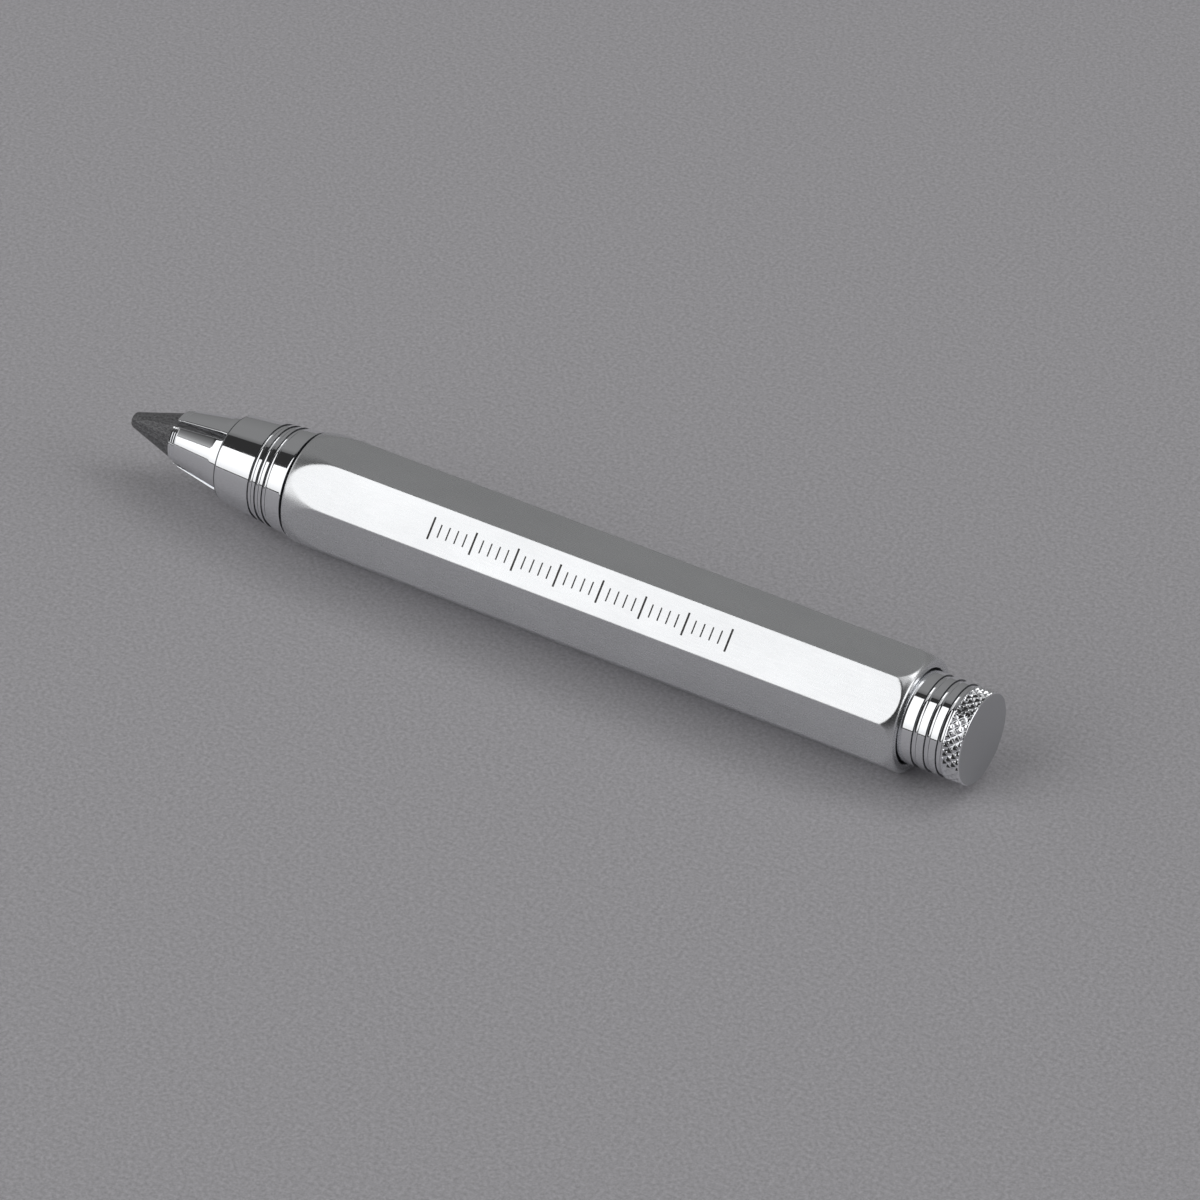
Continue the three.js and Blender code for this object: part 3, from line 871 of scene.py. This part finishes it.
barrel()
engraved_scale()
nose_sleeve()
for number in range(4):
    jaw(number)
lead()
push_button()
lead_pointer()
clutch_body()
lead_tube()
snap_ring()
threaded_bush()
coil_spring()
turned_ring("spring_seat", "front_spring_washer", "holder", SPRING, TUBE_RADIUS + 0.2)
turned_ring("guide_bush", "rear_guide_bush", "holder", BRASS, TUBE_RADIUS + 0.05, 0.2)
turned_ring("rear_spring_seat", "rear_spring_washer", "clutch", SPRING, TUBE_RADIUS + 0.2)
turned_ring("spring_stop", "spring_collar", "clutch", BRASS, TUBE_RADIUS + 0.03, 0.2)
turned_ring("pointer_keeper", "pointer_ring", "button", SPRING, 3.3)


# ---- studio ----

def quad(name, corners, material):
    """A flat studio panel, corners in metres."""
    mesh = bpy.data.meshes.new(name)
    mesh.from_pydata(corners, [], [tuple(range(len(corners)))])
    mesh.materials.append(material)
    panel = bpy.data.objects.new(name, mesh)
    bpy.context.scene.collection.objects.link(panel)


def steady_glow(name, strength):
    """Light of one strength all over."""
    material = bpy.data.materials.new(name)
    material.use_nodes = True
    tree = material.node_tree
    tree.nodes.remove(tree.nodes["Principled BSDF"])
    light = tree.nodes.new("ShaderNodeEmission")
    light.inputs["Strength"].default_value = strength
    tree.links.new(light.outputs["Emission"], tree.nodes["Material Output"].inputs["Surface"])
    return material


def graded_glow(name, levels):
    """Light whose strength changes from the bottom of the panel, 0, to its top, 1. Each level is
    (height, strength)."""
    brightest = max(strength for height, strength in levels)
    material = steady_glow(name, brightest)
    tree = material.node_tree
    coords = tree.nodes.new("ShaderNodeTexCoord")
    split = tree.nodes.new("ShaderNodeSeparateXYZ")
    ramp = tree.nodes.new("ShaderNodeValToRGB")
    stops = ramp.color_ramp.elements
    while len(stops) < len(levels):
        stops.new(0.5)
    for stop, (height, strength) in zip(stops, levels):
        stop.position = height
        share = strength / brightest
        stop.color = (share, share, share, 1)
    tree.links.new(coords.outputs["Generated"], split.inputs["Vector"])
    tree.links.new(split.outputs["Z"], ramp.inputs["Fac"])
    tree.links.new(ramp.outputs["Color"], tree.nodes["Emission"].inputs["Color"])
    return material


def studio():
    """A grey card under soft lights: a key softbox at the front left with a low fill beyond its
    left edge, a bright low panel on the right, a small panel and a ceiling overhead, and a dim
    backdrop that leans over from behind."""
    card = [(-6, -1.45, 0), (6, -1.45, 0), (6, 5, 0), (-6, 5, 0)]
    quad("floor", card, paper())
    key = [(-1.98, -1.4, 0.06), (-0.14, -1.4, 0.06), (-0.1, -0.19, 1.6), (-0.54, -0.19, 1.6)]
    key_levels = [(0, 0.88), (0.2, 1.12), (0.5, 1.26), (1, 1.26)]
    quad("softbox", key, graded_glow("softbox_glow", key_levels))
    left = [(-1.6, -1.0, 0.05), (-1.6, 0.5, 0.05), (-1.5, 0.4, 1.35), (-1.5, -0.95, 1.35)]
    quad("left_fill", left, graded_glow("left_glow", [(0, 1.1), (0.5, 0.6), (0.8, 0.2), (1, 0.05)]))
    side = [(1.3, -0.3, 0.1), (1.3, 0.6, 0.1), (1.05, 0.6, 1.0), (1.05, 0.1, 1.0)]
    quad("side_panel", side, graded_glow("side_glow", [(0, 2.0), (0.4, 1.8), (1, 0.6)]))
    above = [(1.05, 0.4, 1.1), (1.05, 0.95, 1.1), (0.55, 0.95, 1.3), (0.55, 0.4, 1.3)]
    quad("top_panel", above, steady_glow("top_glow", 2.0))
    ceiling = [(1.1, -0.25, 1.8), (1.1, 1.3, 1.8), (-0.15, 1.3, 1.8), (-0.15, -0.1, 1.8)]
    quad("ceiling", ceiling, steady_glow("ceiling_glow", 0.72))
    far = [(-9, 4.9, 0.01), (9, 4.9, 0.01), (9, 0.4, 6.4), (-9, 0.4, 6.4)]
    far_levels = [(0, 0.19), (0.45, 0.23), (0.8, 0.23), (1, 0.14)]
    quad("backdrop", far, graded_glow("backdrop_glow", far_levels))
    world = bpy.data.worlds.new("studio")
    world.use_nodes = True
    world.node_tree.nodes["Background"].inputs["Color"].default_value = (0.03, 0.03, 0.03, 1)
    bpy.context.scene.world = world


def camera():
    """Long lens, high on the right, looking down at the pencil from beyond its button."""
    data = bpy.data.cameras.new("camera")
    data.lens = LENS
    data.sensor_width = 36
    data.clip_start = 0.01
    view = bpy.data.objects.new("camera", data)
    view.location = CAMERA_PLACE
    view.rotation_mode = "QUATERNION"
    view.rotation_quaternion = (CAMERA_AIM - CAMERA_PLACE).to_track_quat("-Z", "Y")
    bpy.context.scene.collection.objects.link(view)
    bpy.context.scene.camera = view


studio()
camera()
bpy.context.scene.view_settings.view_transform = "Standard"
